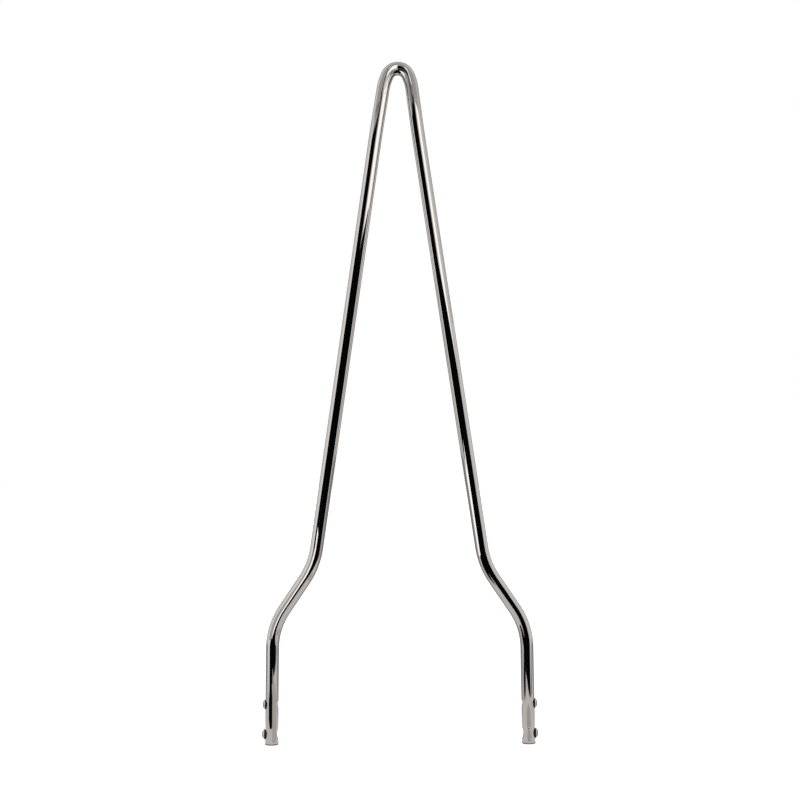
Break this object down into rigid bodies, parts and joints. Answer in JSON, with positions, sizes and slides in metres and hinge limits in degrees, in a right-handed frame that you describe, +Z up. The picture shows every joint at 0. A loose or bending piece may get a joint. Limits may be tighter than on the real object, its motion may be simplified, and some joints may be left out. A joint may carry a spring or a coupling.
{
  "type": "sissy bar",
  "caption": "Tall sissy bar bent flat from solid round bar to a narrow rounded peak, stepping out to straight feet that are screwed to a motorcycle's side plates.",
  "frame": {"origin": "midway between the feet, at the level of their ends", "axes": "+Z up, from the feet to the crown; X across, from foot to foot; Y across the bar's flat plane, with -Y the side that faces the camera in the picture"},
  "size_m": [0.3018, 0.0148, 0.7466],
  "materials": {
    "chrome_bar": "polished",
    "screw_steel": "bright zinc plated"
  },
  "bodies": {
    "root": {"bent_bar": "chrome_bar", "left_upper_screw": "screw_steel", "left_lower_screw": "screw_steel", "right_upper_screw": "screw_steel", "right_lower_screw": "screw_steel"}
  },
  "joints": []
}
